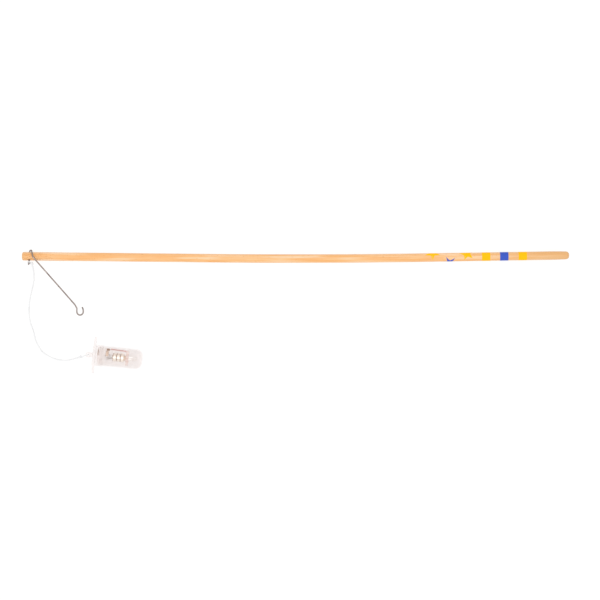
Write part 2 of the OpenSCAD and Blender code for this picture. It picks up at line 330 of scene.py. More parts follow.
class Shader:
    """A material's node tree, with one Principled shader in it."""

    # The sockets of a Mix node that mixes colours.
    FACTOR, COLOUR_A, COLOUR_B, RESULT = 0, 6, 7, 2

    def __init__(self, name, **sockets):
        self.material = bpy.data.materials.new(name)
        self.material.use_nodes = True
        self.tree = self.material.node_tree
        self.main = self.tree.nodes["Principled BSDF"]
        for socket, value in sockets.items():
            self.main.inputs[socket.replace("_", " ")].default_value = value

    def node(self, kind, **settings):
        """A new node with the given settings."""
        node = self.tree.nodes.new("ShaderNode" + kind)
        for key, value in settings.items():
            setattr(node, key, value)
        return node

    def link(self, a, b):
        self.tree.links.new(a, b)

    def grain(self, *scale):
        """Coordinates along and across a swept piece, in metres, times scale."""
        source = self.node("Attribute", attribute_name="grain").outputs["Vector"]
        return self.scaled(source, scale)

    def share(self, length):
        """How far a point is along a piece of that length, from 0 to 1."""
        parts = self.node("SeparateXYZ")
        self.link(self.grain(1 / length), parts.inputs[0])
        return parts.outputs["X"]

    def place(self, *scale):
        """The piece's own coordinates, in metres, times scale."""
        return self.scaled(self.node("TexCoord").outputs["Object"], scale)

    def scaled(self, source, scale):
        """Coordinates times one scale, or one for each axis."""
        mapping = self.node("Mapping")
        mapping.inputs["Scale"].default_value = scale if len(scale) == 3 else scale * 3
        self.link(source, mapping.inputs["Vector"])
        return mapping.outputs["Vector"]

    def noise(self, at, detail, rough=0.5, distortion=0.0):
        """Noise whose marks are about 1 across in the given coordinates."""
        node = self.node("TexNoise")
        for socket, value in (("Scale", 1.0), ("Detail", detail), ("Roughness", rough),
                              ("Distortion", distortion)):
            node.inputs[socket].default_value = value
        self.link(at, node.inputs["Vector"])
        return node.outputs["Fac"]

    def ramp(self, value, *stops):
        """Colours or greys at given values."""
        node = self.node("ValToRGB")
        elements = node.color_ramp.elements
        while len(elements) < len(stops):
            elements.new(0.5)
        for element, (at, colour) in zip(elements, stops):
            element.position = at
            element.color = (*colour, 1) if isinstance(colour, tuple) else (*(colour,) * 3, 1)
        self.link(value, node.inputs["Fac"])
        return node.outputs["Color"]

    def mix(self, how_much, a, b):
        """Colour a turned into colour b by how_much. A colour is three numbers or a socket."""
        node = self.node("Mix", data_type="RGBA")
        for index, value in ((self.FACTOR, how_much), (self.COLOUR_A, a), (self.COLOUR_B, b)):
            if isinstance(value, tuple):
                node.inputs[index].default_value = (*value, 1)
            else:
                self.link(value, node.inputs[index])
        return node.outputs[self.RESULT]

    def bump(self, height, distance, strength):
        """Relief on top of any that the shader has already."""
        node = self.node("Bump")
        node.inputs["Distance"].default_value = distance
        node.inputs["Strength"].default_value = strength
        self.link(height, node.inputs["Height"])
        previous = self.main.inputs["Normal"]
        if previous.is_linked:
            self.link(previous.links[0].from_socket, node.inputs["Normal"])
        self.link(node.outputs["Normal"], previous)

    def colour(self, socket):
        self.link(socket, self.main.inputs["Base Color"])

    def rough(self, socket):
        self.link(socket, self.main.inputs["Roughness"])


# ---------- Materials ----------

def beech():
    """Pale beech: long grain, orange streaks, the short brown flecks of its rays, more flecks
    near the hook, and wood worn darker at both ends."""
    m = Shader("beech", Roughness=0.6, Specular_IOR_Level=0.3)
    tone = m.noise(m.grain(19, 430, 430), detail=3)
    streak = m.noise(m.grain(36, 620, 620), detail=2, distortion=0.3)
    fine = m.noise(m.grain(60, 2600, 2600), detail=3, rough=0.6)
    fleck = m.noise(m.grain(520, 1500, 1500), detail=1)
    wood = m.ramp(tone, (0.36, (0.79, 0.40, 0.15)), (0.5, (0.82, 0.475, 0.22)),
                  (0.64, (0.85, 0.585, 0.36)))
    wood = m.mix(m.ramp(streak, (0.58, 0.0), (0.70, 0.6)), wood, (0.80, 0.34, 0.09))
    wood = m.mix(m.ramp(fine, (0.34, 0.4), (0.6, 0.0)), wood, (0.66, 0.33, 0.13))
    wood = m.mix(m.ramp(fleck, (0.70, 0.0), (0.76, 0.7)), wood, (0.42, 0.17, 0.05))
    along = m.share(STICK_LEN)
    ends = m.noise(m.grain(700, 1300, 1300), detail=1)
    flecked = m.ramp(ends, (0.60, 0.0), (0.66, 0.75))
    near_hook = m.ramp(along, (0.0, 1.0), (0.035, 0.9), (0.07, 0.0))
    wood = m.mix(m.mix(near_hook, (0, 0, 0), flecked), wood, (0.42, 0.17, 0.05))
    worn = m.ramp(along, (0.0, 0.5), (0.014, 0.0), (0.80, 0.0), (0.87, 0.3), (0.93, 0.5),
                  (1.0, 0.8))
    wood = m.mix(worn, wood, (0.66, 0.37, 0.15))
    m.colour(wood)
    m.rough(m.ramp(fine, (0.3, 0.68), (0.7, 0.5)))
    m.bump(fine, 0.04 * MM, 0.6)
    return m.material


def print_paint(name, colour):
    """Matt ink, with the wood's fine grain in it."""
    m = Shader(name, Roughness=0.55, Specular_IOR_Level=0.12)
    fine = m.noise(m.grain(45, 2400, 2400), detail=3, rough=0.6)
    specks = m.noise(m.grain(1500, 1500, 1500), detail=2)
    dark = tuple(c * 0.82 for c in colour)
    m.colour(m.mix(m.ramp(fine, (0.3, 0.35), (0.6, 0.0)), colour, dark))
    m.rough(m.ramp(specks, (0.3, 0.48), (0.7, 0.62)))
    m.bump(fine, 0.02 * MM, 0.5)
    return m.material


def spring_steel():
    """Drawn wire, darkened in places."""
    m = Shader("spring_steel", Metallic=1.0, Roughness=0.35)
    draw = m.noise(m.grain(60, 9000, 9000), detail=2)
    tarnish = m.noise(m.grain(180, 900, 900), detail=3)
    steel = m.ramp(tarnish, (0.3, (0.19, 0.145, 0.13)), (0.7, (0.40, 0.335, 0.31)))
    m.colour(m.mix(m.ramp(draw, (0.4, 0.4), (0.6, 0.0)), steel, (0.16, 0.13, 0.115)))
    m.rough(m.ramp(tarnish, (0.3, 0.5), (0.7, 0.3)))
    m.bump(draw, 0.01 * MM, 0.4)
    return m.material


def white_cord():
    """White fibres with a little grey soil."""
    m = Shader("white_cord", Roughness=0.85)
    fibre = m.noise(m.grain(900, 9000, 9000), detail=3)
    soil = m.noise(m.grain(90, 600, 600), detail=2)
    m.colour(m.mix(m.ramp(fibre, (0.3, 0.35), (0.6, 0.0)),
                   m.ramp(soil, (0.3, (0.74, 0.74, 0.75)), (0.7, (0.81, 0.81, 0.81))),
                   (0.55, 0.55, 0.57)))
    m.bump(fibre, 0.05 * MM, 0.8)
    return m.material


def moulded(name, colour, rough, alpha, painted_glow=0.0, grooved=False):
    """Moulded plastic that lets some light through, with flow marks and fine scratches.
    glow is painted light: an even emission in the plastic's own colour that stands in for light
    passing through it, so the plastic glows though it is no lamp.
    A grooved one has the barrel's rings in its round end, as bumps with painted shade in them."""
    # The emission is painted light: the plastic glows evenly in its own colour.
    m = Shader(name, Alpha=alpha, IOR=1.5, Emission_Color=(*colour, 1), Emission_Strength=painted_glow)
    flow = m.noise(m.place(90), detail=2, distortion=0.6)
    scratch = m.noise(m.place(2500, 400, 400), detail=3)
    hazy = tuple(c * 0.965 for c in colour)
    clear = m.ramp(flow, (0.3, hazy), (0.7, colour))
    if grooved:
        rings = m.node("TexWave", wave_profile="SIN")
        rings.inputs["Scale"].default_value = 1.0
        wave_length = 2 * math.pi / 20  # what the texture repeats in at scale 1
        m.link(m.grain(wave_length / (GROOVE_PITCH * MM), 0, 0), rings.inputs["Vector"])
        ends = m.ramp(m.share(52 * MM), (0.70, 0.0), (0.73, 1.0), (0.90, 1.0), (0.92, 0.0))
        groove_depth_and_shade = m.mix(ends, (0, 0, 0), rings.outputs["Color"])
        # The rings are painted darker: painted shade in the grooves, while the bump gives their
        # real relief.
        clear = m.mix(groove_depth_and_shade, clear, tuple(c * 0.72 for c in colour))
        m.bump(groove_depth_and_shade, 0.05 * MM, 0.6)
    m.colour(clear)
    m.rough(m.ramp(scratch, (0.35, rough), (0.7, rough + 0.14)))
    m.bump(scratch, 0.008 * MM, 0.35)
    return m.material


def metal(name, colour, rough):
    """Stamped or drawn bright metal, slightly tarnished."""
    m = Shader(name, Metallic=1.0)
    cloud = m.noise(m.place(700), detail=3)
    drawn = m.noise(m.place(300, 6000, 6000), detail=2)
    m.colour(m.ramp(cloud, (0.3, tuple(c * 0.78 for c in colour)), (0.7, colour)))
    m.rough(m.ramp(drawn, (0.3, rough), (0.7, rough + 0.15)))
    m.bump(drawn, 0.006 * MM, 0.4)
    return m.material


def button_cell():
    """Bright can, with a dark ring at the cap end: the sealing gasket, widened with painted shade
    where the cells meet.
    """
    m = Shader("cell_steel", Metallic=0.9)
    brushed = m.noise(m.grain(9000, 500, 500), detail=2)
    steel = m.ramp(brushed, (0.3, (0.86, 0.80, 0.70)), (0.7, (0.97, 0.92, 0.82)))
    # The dark ring is partly the real gasket and partly painted shade in the join between cells.
    gasket_and_shade = m.ramp(m.share(CELL_T * MM), (0.10, 0.0), (0.13, 1.0), (0.24, 1.0), (0.29, 0.0))
    m.colour(m.mix(gasket_and_shade, steel, (0.34, 0.20, 0.14)))
    m.rough(m.ramp(brushed, (0.3, 0.34), (0.7, 0.48)))
    m.bump(brushed, 0.006 * MM, 0.5)
    return m.material


def banded_resistor():
    """Painted body with generic colour bands."""
    m = Shader("resistor_body")
    body, wire = (0.32, 0.19, 0.09), (0.7, 0.68, 0.66)
    stops = [(0.0, body), (0.12, (0.20, 0.07, 0.03)), (0.20, body), (0.30, (0.02, 0.02, 0.02)),
             (0.37, body), (0.47, (0.30, 0.04, 0.02)), (0.54, body), (0.79, wire)]
    bands = m.ramp(m.share(RESISTOR_LEN * MM), *stops)
    bands.node.color_ramp.interpolation = "CONSTANT"
    gloss = m.noise(m.place(2500), detail=2)
    m.colour(m.mix(m.ramp(gloss, (0.4, 0.25), (0.7, 0.0)), bands, (0.16, 0.09, 0.05)))
    m.rough(m.ramp(gloss, (0.3, 0.25), (0.7, 0.42)))
    m.bump(gloss, 0.01 * MM, 0.5)
    return m.material


def insulation():
    """Thin red lead insulation, a little faded."""
    m = Shader("red_insulation")
    faded = m.noise(m.grain(260, 900, 900), detail=3)
    m.colour(m.ramp(faded, (0.3, (0.46, 0.20, 0.19)), (0.7, (0.64, 0.40, 0.375))))
    m.rough(m.ramp(faded, (0.3, 0.30), (0.7, 0.45)))
    m.bump(faded, 0.02 * MM, 0.4)
    return m.material


def table_top():
    """The white table under the stick."""
    m = Shader("table_top", Roughness=0.9, Emission_Color=(1, 1, 1, 1), Emission_Strength=0.8)
    cloud = m.noise(m.place(3), detail=2)
    m.colour(m.ramp(cloud, (0.3, (0.19, 0.19, 0.19)), (0.7, (0.21, 0.21, 0.21))))
    return m.material


BEECH = beech()
YELLOW = print_paint("yellow_print", (0.92, 0.475, 0.0))
BLUE = print_paint("blue_print", (0.042, 0.088, 0.47))
STEEL = spring_steel()
CORD = white_cord()
# The last number in each of these is the plastic's painted glow, an even emission standing in for
# light through it.
CLEAR = moulded("clear_plastic", (0.56, 0.45, 0.42), 0.10, 0.12, 0.35, grooved=True)
TINTED = moulded("wing_plastic", (0.48, 0.38, 0.355), 0.14, 0.17, 0.45)
FROSTED = moulded("frosted_plastic", (0.85, 0.76, 0.71), 0.35, 0.07, 0.60)
RESIN = moulded("led_resin", (0.84, 0.77, 0.70), 0.06, 0.12, 0.4)
SEAT = moulded("seat_plastic", (0.80, 0.52, 0.43), 0.35, 0.22, 0.2)
BRONZE = metal("bronze", (0.50, 0.38, 0.29), 0.38)
SPRING = metal("spring_wire", (0.60, 0.59, 0.57), 0.25)
TINNED = metal("tinned_wire", (0.80, 0.79, 0.78), 0.25)
CELL = button_cell()
RESISTOR = banded_resistor()
RED = insulation()


# ---------- Cord, loops and knots ----------

def knot(name, centre, size):
    """An overhand knot pulled tight, as a ball of size across."""
    steps, pitch = 96, 2.2 * MM
    thick = STRAND_D * 1.15
    path = []
    for k in range(steps):
        t = 2 * math.pi * k / steps
        path.append(Vector((math.sin(t) + 2 * math.sin(2 * t), math.cos(t) - 2 * math.cos(2 * t),
                            -1.1 * math.sin(3 * t))))
    reach = max(p.length for p in path)
    lay = size / 2 - STRAND_D / 2
    turn = Matrix.Rotation(0.6, 3, "X") @ Matrix.Rotation(0.9, 3, "Z")
    bm = bmesh.new()
    twisted(bm, [centre + turn @ (p * lay / reach) for p in path], thick, pitch, closed=True)
    return finish_piece(name, bm, "stick", CORD, 60)


def loop_round_wire():
    """The cord's ring round the wire's tail, under the stick."""
    ring_y, loop_r, steps = 6.8 * MM, 1.25 * MM, 40
    across = Vector((1, 0, 0))
    out = HOLE_AXIS.cross(across).normalized()
    ring = HOLE + ring_y * HOLE_AXIS
    path = [ring + loop_r * (math.cos(a) * across + math.sin(a) * out)
            for a in (2 * math.pi * k / steps for k in range(steps))]
    bm = bmesh.new()
    twisted(bm, path, STRAND_D, 2 * MM, closed=True)
    return finish_piece("hook_loop_twisted", bm, "stick", CORD, 60)


def loop_through_eyelet(knot_at):
    """The cord from its knot over the eyelet, down through it and back under it."""
    away = knot_at - EYELET
    drop, away.z = away.z, 0
    reach = away.length
    away.normalize()
    rise, over, bend = 1.98 * MM, 3.2 * MM, 0.9 * MM
    corners = [(reach, drop + 0.6 * MM), (over, rise), (0, rise), (0, -rise),
               (over, -rise - 0.2 * MM), (reach, drop - 0.4 * MM)]
    path = rounded([EYELET + away * d + UP * z for d, z in corners], [0, bend, bend, bend, bend, 0])
    bm = bmesh.new()
    twisted(bm, even(path, 0.25 * MM), STRAND_D, 2.2 * MM)
    return finish_piece("lamp_loop_twisted", bm, "stick", CORD, 60)


def make_cord():
    """The cord from the wire's tail to the lamp, with the loop and the knot at each end."""
    centre_line = smooth_route(ROUTE, 8)
    bm = bmesh.new()
    twisted(bm, even(centre_line, 0.35 * MM), CORD_D, 4.4 * MM)
    cord = finish_piece("cord_twisted", bm, "stick", CORD, 60)
    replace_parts(cord, "cord")

    hook_loop = loop_round_wire()
    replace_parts(hook_loop, "hook_loop")

    low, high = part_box("hook_knot")
    hook_knot = knot("hook_knot_tied", (low + high) / 2, 3.2 * MM)
    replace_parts(hook_knot, "hook_knot")

    low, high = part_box("lamp_knot")
    lamp_knot_at = (low + high) / 2
    lamp_knot = knot("lamp_knot_tied", lamp_knot_at, 3.4 * MM)
    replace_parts(lamp_knot, "lamp_knot")
    lamp_loop = loop_through_eyelet(lamp_knot_at)
    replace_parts(lamp_loop, "lamp_loop")


make_cord()


# ---------- Stick ----------

def heading(angle):
    """Direction on the table at an angle from +X."""
    return Vector((math.cos(angle), math.sin(angle), 0))


def on_stick(s):
    """Centre of the stick at a length from the hook end, and its two sideways directions."""
    first = CHORD_TILT - BOW_ANGLE / 2
    bend_start = HOOK_END + HOOK_END_LEN * heading(first)
    centre = bend_start + BOW_R * heading(first + math.pi / 2)
    bent = min(max(s - HOOK_END_LEN, 0), BOW_LEN)
    angle = first + bent / BOW_R
    at = centre - BOW_R * heading(angle + math.pi / 2)
    at += (s - HOOK_END_LEN - bent) * heading(angle)
    return at, UP, heading(angle + math.pi / 2)


def add_grain(obj):
    """Writes each vertex's place along and across the stick, as if the stick were straight."""
    mesh = obj.data
    grain = mesh.attributes.get("grain") or mesh.attributes.new("grain", "FLOAT_VECTOR", "POINT")
    for vertex, value in zip(mesh.vertices, grain.data):
        s = vertex.co.x - HOOK_END.x
        value.vector = (s, vertex.co.y - on_stick(s)[0].y, vertex.co.z - HOOK_END.z)


def stick_profile():
    """The stick's (length, radius) points: a rounded hook end and a worn, slimmer grip end."""
    crown, edge, steps = 0.12 * MM, 1.3 * MM, 8
    flat_r = STICK_R - edge
    profile = [(crown * (k / steps) ** 2, flat_r * k / steps) for k in range(steps + 1)]
    profile += [(crown + edge - edge * math.cos(a), flat_r + edge * math.sin(a))
                for a in (math.pi / 2 * k / steps for k in range(1, steps + 1))]
    start, straight, steps = crown + edge, 503 * MM, 100
    profile += [(start + (straight - start) * k / steps, STICK_R) for k in range(1, steps + 1)]
    tip, tip_r, steps = 516.6 * MM, 3.75 * MM, 6
    profile += [(straight + (tip - straight) * k / steps,
                 STICK_R + (tip_r - STICK_R) * (k / steps) ** 1.5) for k in range(1, steps + 1)]
    end, steps = STICK_LEN - tip, 10
    profile += [(tip + end * math.sin(a), tip_r * math.cos(a) ** 0.62)
                for a in (math.pi / 2 * k / steps for k in range(1, steps))]
    return profile + [(STICK_LEN, 0)]


def drill_bit():
    """A bar through the stick where the hook's hole goes."""
    reach = 2 * STICK_R
    side = Vector((1, 0, 0))
    bm = bmesh.new()
    lathe(bm, [(-reach, 0), (-reach, HOLE_R), (reach, HOLE_R), (reach, 0)],
          lambda s: (HOLE + s * HOLE_AXIS, side, HOLE_AXIS.cross(side)), 48)
    return tool(bm)


def make_stick():
    """The bowed dowel, with the hook's hole through it."""
    bm = bmesh.new()
    lathe(bm, stick_profile(), on_stick, 96)
    stick = finish_piece("dowel_beech", bm, "stick", BEECH)
    combine(stick, drill_bit(), "DIFFERENCE")
    add_grain(stick)
    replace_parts(stick, "dowel")


def band(name, start, material):
    """A printed band round the stick, a hair proud of the wood."""
    end, skin, sunk = start + BAND_W, STICK_R + INK_OUT, STICK_R - INK_IN
    profile = [(start, sunk), (start, skin), (end, skin), (end, sunk), (start, sunk)]
    bm = bmesh.new()
    lathe(bm, profile, on_stick, 96)
    weld(bm)
    add_grain(finish_piece(name, bm, "stick", material))


def star(name, s, around, turn, material, size, inner):
    """A printed five-pointed star wrapped on the stick. around and turn are in degrees, and
    inner is the reach of the corners between its points, as a share of size."""
    outline = []
    for k in range(10):
        a = math.radians(90 + turn + 36 * k)
        r = size * (inner if k % 2 else 1)
        outline.append((r * math.cos(a), r * math.sin(a)))
    splits, rows = 5, 8
    edge = []
    for a, b in zip(outline, outline[1:] + outline[:1]):
        edge += [(a[0] + (b[0] - a[0]) * k / splits, a[1] + (b[1] - a[1]) * k / splits)
                 for k in range(splits)]
    n = len(edge)
    bm = bmesh.new()

    def wrapped(x, y, radius):
        centre, up, side = on_stick(s + x)
        angle = math.radians(around) + y / STICK_R
        return bm.verts.new(centre + radius * (math.cos(angle) * up + math.sin(angle) * side))

    rims = []
    for radius in (STICK_R + INK_OUT, STICK_R - INK_IN):
        middle = wrapped(0, 0, radius)
        rings = [[wrapped(x * row / rows, y * row / rows, radius) for x, y in edge]
                 for row in range(1, rows + 1)]
        for k in range(n):
            j = (k + 1) % n
            bm.faces.new((middle, rings[0][k], rings[0][j]))
            for inside, outside in zip(rings, rings[1:]):
                bm.faces.new((inside[k], outside[k], outside[j], inside[j]))
        rims.append(rings[-1])
    top, bottom = rims
    for k in range(n):
        j = (k + 1) % n
        bm.faces.new((top[k], top[j], bottom[j], bottom[k]))
    add_grain(finish_piece(name, bm, "stick", material))


make_stick()
band("band_yellow_1", 437 * MM, YELLOW)
band("band_blue", 454.2 * MM, BLUE)
band("band_yellow_2", 471.8 * MM, YELLOW)
star("star_yellow_1", 390.1 * MM, 65, 180, YELLOW, 7.5 * MM, 0.44)
star("star_blue", 406.4 * MM, -87, 172, BLUE, 7.4 * MM, 0.33)
star("star_yellow_2", 422.6 * MM, 48, 13, YELLOW, 7.2 * MM, 0.46)


# ---------- Hook ----------

def hook_path():
    """The wire's path, with the same corners and bends as in the CAD."""
    foot_y, foot_len = -8.25, 1.2
    leg_x, leg_lean, leg_y, leg_lift = 2.3, 1.6, -3.3, 4.85
    shank_end = (-209.8, 6.3)
    throat_x, throat_y, throat_w, throat_in = -208, -0.6, 6, 3.6
    tip_in, tip_lean = 4.6, 1
    across = Vector((1, 0, 0))
    lift = HOLE_AXIS.cross(across).normalized()
    tilt = math.asin(HOLE_AXIS.z)
    arch_y = 5.7 / math.cos(tilt)

    def in_hole(x, y, z):
        """A point from the hole's middle, with y along the hole towards the arch."""
        return HOLE + (x * across - y * HOLE_AXIS + z * lift) * MM

    leg_bend = in_hole(leg_x + leg_lean, leg_y, leg_lift)
    centre = Vector((throat_x + throat_w / 2, throat_y, 0)) * MM
    run = Vector((centre.x - leg_bend.x, centre.y - leg_bend.y, 0))
    fall = (leg_bend.z - WIRE_R) / (run.length + throat_w / 2 * MM)

    def on_hook(x, y):
        """A point in the plane that falls from the stick's top to the table."""
        at = Vector((x * MM, y * MM, 0))
        flat = Vector((leg_bend.x, leg_bend.y, 0))
        return at + UP * (leg_bend.z - fall * (at - flat).dot(run.normalized()))

    far_x, end_y = throat_x + throat_w, throat_y - throat_w / 2
    corners = [in_hole(-foot_len / 2, foot_y, -foot_len), in_hole(0, foot_y, 0),
               in_hole(0, arch_y, 0), in_hole(leg_x, arch_y - leg_lift * math.tan(tilt), leg_lift),
               leg_bend, on_hook(*shank_end), on_hook(throat_x, throat_y + throat_in),
               on_hook(throat_x, end_y), on_hook(far_x, end_y),
               on_hook(far_x, throat_y + tip_in / 2), on_hook(far_x - tip_lean, throat_y + tip_in)]
    u_bend = throat_w / 2 - 0.01
    bends = [r * MM for r in (0, 0.9, 1.1, 1.1, 1.2, 2.5, 2, u_bend, u_bend, 2.5, 0)]
    return even(rounded(corners, bends, 12), 1.5 * MM)


def make_hook():
    """The bent wire, with its cut ends a little rounded."""
    path = hook_path()
    total = sum((b - a).length for a, b in zip(path, path[1:]))
    cut = 0.12 * MM

    def radius(s):
        near_end = min(s, total - s)
        return WIRE_R - cut * max(0, 1 - near_end / cut) * 0.8

    path.insert(1, path[0].lerp(path[1], cut / (path[1] - path[0]).length))
    path.insert(-1, path[-1].lerp(path[-2], cut / (path[-1] - path[-2]).length))
    bm = bmesh.new()
    tube(bm, path, radius, 24)
    wire = finish_piece("hook_wire_bent", bm, "hook", STEEL, 40)
    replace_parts(wire, "hook_wire")


make_hook()


# ---------- Lamp ----------

def lamp(x, y=0, z=0):
    """A point in the lamp's own frame, given in millimetres from the eyelet's centre."""
    return EYELET + (x * LAMP_AXIS + y * LAMP_SIDE + z * UP) * MM


def turned(bm, profile, sides=96, y=0, z=0):
    """Turns (x, radius) points, in millimetres, about a line along the lamp."""
    lathe(bm, [(x * MM, r * MM) for x, r in profile],
          lambda s: (lamp(s / MM, y, z), LAMP_SIDE, UP), sides)


def arc(x, r, radius, start, end, steps=8):
    """(x, r) points round a centre, with angles in degrees from the lamp's axis."""
    return [(x + radius * math.cos(a), r + radius * math.sin(a))
            for a in (math.radians(start + (end - start) * k / steps) for k in range(steps + 1))]


def prism(bm, outline, x0, x1):
    """A bar along the lamp with the given (y, z) outline."""
    join_rings(bm, [[bm.verts.new(lamp(x, y, z)) for y, z in outline] for x in (x0, x1)])


def box(bm, a, b):
    """A block between two corners."""
    prism(bm, [(a[1], a[2]), (b[1], a[2]), (b[1], b[2]), (a[1], b[2])], a[0], b[0])


def box_tool(a, b):
    """A block between two corners, for a boolean cut or join."""
    bm = bmesh.new()
    box(bm, a, b)
    return tool(bm)


def make_lens():
    """The clear barrel: a plain skin outside, and light-spreading grooves inside."""
    end_r, wall = 6, BARREL_R - BORE_R
    groove_x, grooves, deep = 37, 5, BORE_R + 0.4
    start = (LENS_X, BORE_R)
    profile = [start, (LENS_X, BARREL_R - 0.2), (LENS_X + 0.2, BARREL_R)]
    profile += arc(LENS_END - end_r, BARREL_R - end_r, end_r, 90, 0, 16)
    profile += [(LENS_END, 1.2), (LENS_END - 0.12, 0.9), (LENS_END - 0.15, 0), (LENS_END - wall, 0)]
    profile += arc(LENS_END - end_r, BARREL_R - end_r, end_r - wall, 0, 90, 12)
    for k in range(grooves - 1, -1, -1):
        x = groove_x + GROOVE_PITCH * k
        profile += [(x + GROOVE_PITCH / 2, BORE_R), (x + 0.55, deep), (x + 0.4, deep), (x, BORE_R)]
    bm = bmesh.new()
    turned(bm, profile + [start], 128)
    weld(bm)
    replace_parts(finish_piece("lens_moulded", bm, "lens", CLEAR, 25), "lens")


def wings():
    """Both wings as one bar across the lamp, swept back and thinner towards their tips."""
    front, sweep, straight = 4.2, 0.9, 5
    half_w, corner, tip, steps = 5.5, 3.0, 17.6, 40
    bm = bmesh.new()
    rings = []
    for k in range(-steps, steps + 1):
        y = tip * math.sin(math.pi / 2 * k / steps)
        near_tip = max(0, abs(y) - (tip - corner))
        half = half_w - corner + math.sqrt(max(corner ** 2 - near_tip ** 2, 0.02))
        x = front + sweep * max(0, (abs(y) - straight) / (tip - straight)) ** 1.3
        thick = 3.2 - 1.5 * min(1, abs(y) / tip) ** 0.8
        edge = min(0.7, thick / 2 - 0.05, half * 0.8)
        ring = []
        for sx, sz, start in ((1, 1, 0), (0, 1, 90), (0, 0, 180), (1, 0, 270)):
            for a in (math.radians(start + 30 * j) for j in range(4)):
                cx = x + thick - edge if sx else x + edge
                cz = half - edge if sz else edge - half
                ring.append(bm.verts.new(lamp(cx + edge * math.cos(a), y, cz + edge * math.sin(a))))
        rings.append(ring)
    join_rings(bm, rings)
    return tool(bm)


def neck():
    """The short bar that carries the eyelet, with its edges cut off."""
    half_w, half_t = 2.3, 1.3
    outline = [(y * half_w, z * half_t) for y, z in (
        (-1, -0.7), (-0.87, -1), (0.87, -1), (1, -0.7), (1, 0.7), (0.87, 1), (-0.87, 1), (-1, 0.7))]
    bm = bmesh.new()
    prism(bm, outline, 0.9, 5.2)
    return tool(bm)


def turned_upright(profile, sides):
    """Turns (height, radius) points about the eyelet's upright axis."""
    bm = bmesh.new()
    lathe(bm, [(s * MM, r * MM) for s, r in profile],
          lambda s: (EYELET + s * UP, LAMP_AXIS, LAMP_SIDE), sides)
    return tool(bm)


def mirrored(upper):
    """(height, radius) points from the top inwards, and their mirror image below."""
    return [(-s, r) for s, r in upper] + upper[::-1]


def make_wing_cap():
    """Skirt, two swept wings and the eyelet, moulded as one."""
    outer, bore_start, bore_end = 10.1, 9.2, 14.4
    bm = bmesh.new()
    profile = [(7.2, 0)] + arc(7.9, outer - 0.7, 0.7, 180, 90, 6)
    profile += [(bore_end - 0.3, outer), (bore_end, outer - 0.3), (bore_end, BORE_R + 0.15),
                (bore_end - 0.15, BORE_R), (bore_start, BORE_R), (bore_start, 0)]
    turned(bm, profile, 128)
    cap = finish_piece("wing_cap_moulded", bm, "cap", TINTED, 30)
    combine(cap, wings(), "UNION")
    rim, half_t, hole_r, reach = EYELET_R, EYELET_HALF_T, 1.3, 2.4
    disc = mirrored([(half_t, 0), (half_t, rim - 0.5), (half_t - 0.15, rim - 0.15),
                     (half_t - 0.5, rim)])
    hole = mirrored([(reach, 0), (reach, 2.4), (half_t, 1.6), (half_t - 0.4, hole_r)])
    combine(cap, turned_upright(disc, 64), "UNION")
    combine(cap, neck(), "UNION")
    combine(cap, turned_upright(hole, 48), "DIFFERENCE")
    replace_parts(cap, "wing_cap")


def trough_outline():
    """The trough across the lamp: a round bed for the cells in a round-backed block."""
    bed_r, side, top, floor, back_r, steps = 4.2, 6.9, 1.6, -5.6, 8.3, 4
    outline = [(-side, top), (-bed_r, top), (-bed_r, 0)]
    outline += [(bed_r * math.cos(a), bed_r * math.sin(a))
                for a in (math.pi + math.pi * k / 24 for k in range(1, 24))]
    outline += [(bed_r, 0), (bed_r, top), (side, top)]
    at_side, at_floor = math.acos(side / back_r), math.asin(-floor / back_r)
    outline += [(back_r * math.cos(a), -back_r * math.sin(a))
                for a in (at_side + (at_floor - at_side) * k / steps for k in range(steps + 1))]
    outline += [(-back_r * math.cos(a), -back_r * math.sin(a))
                for a in (at_floor + (at_side - at_floor) * k / steps for k in range(steps + 1))]
    return outline


def make_carrier():
    """The spigot that the skirt turns on, and the trough for the cells."""
    start, outer, wall, bore, chamfer = 10.4, 8.6, 1.2, 1.5, 0.2
    floor = SPIGOT_END - wall
    bm = bmesh.new()
    turned(bm, [(start, outer - wall), (start, outer - chamfer), (start + chamfer, outer),
                (SPIGOT_END - chamfer, outer), (SPIGOT_END, outer - chamfer), (SPIGOT_END, bore),
                (floor, bore), (floor, outer - wall), (start, outer - wall)], 96)
    weld(bm)
    carrier = finish_piece("carrier_moulded", bm, "barrel", FROSTED, 30)
    bm = bmesh.new()
    prism(bm, trough_outline(), SPIGOT_END - 0.15, TRAY_END)
    combine(carrier, tool(bm), "UNION")
    foot_half_t, foot_half_w = 0.35, 3.4
    for x in (18.6, 34.6):
        combine(carrier, box_tool((x - foot_half_t, -foot_half_w, -5.7),
                                  (x + foot_half_t, foot_half_w, -3.9)), "UNION")
    soften(carrier, 0.14 * MM, 2)
    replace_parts(carrier, "carrier")


def make_cells():
    """Three button cells: can, gasket, and the smaller cap that faces the spring; their material
    paints the gasket dark and widens it with painted shade where the cells meet.
    """
    cap_r = 3.05
    for i in range(3):
        x = CELL_X + i * CELL_T
        end = x + CELL_T
        profile = [(x, 0), (x, cap_r - 0.2)] + arc(x + 0.2, cap_r - 0.2, 0.2, 180, 90, 3)
        profile += [(x + 0.42, cap_r + 0.02), (x + 0.5, cap_r + 0.3), (x + 0.47, CELL_R - 0.42)]
        profile += arc(x + 0.8, CELL_R - 0.35, 0.35, 180, 90, 6)
        profile += arc(end - 0.32, CELL_R - 0.3, 0.3, 90, 0, 5)
        profile += [(end - 0.02, CELL_R - 1.1), (end - 0.1, CELL_R - 1.2), (end - 0.1, 0)]
        bm = bmesh.new()
        turned(bm, profile, 96)
        start_grain_at(bm, x * MM)
        cell = finish_piece(f"cell_{i + 1}_turned", bm, "barrel", CELL, 30)
        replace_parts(cell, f"cell_{i + 1}")


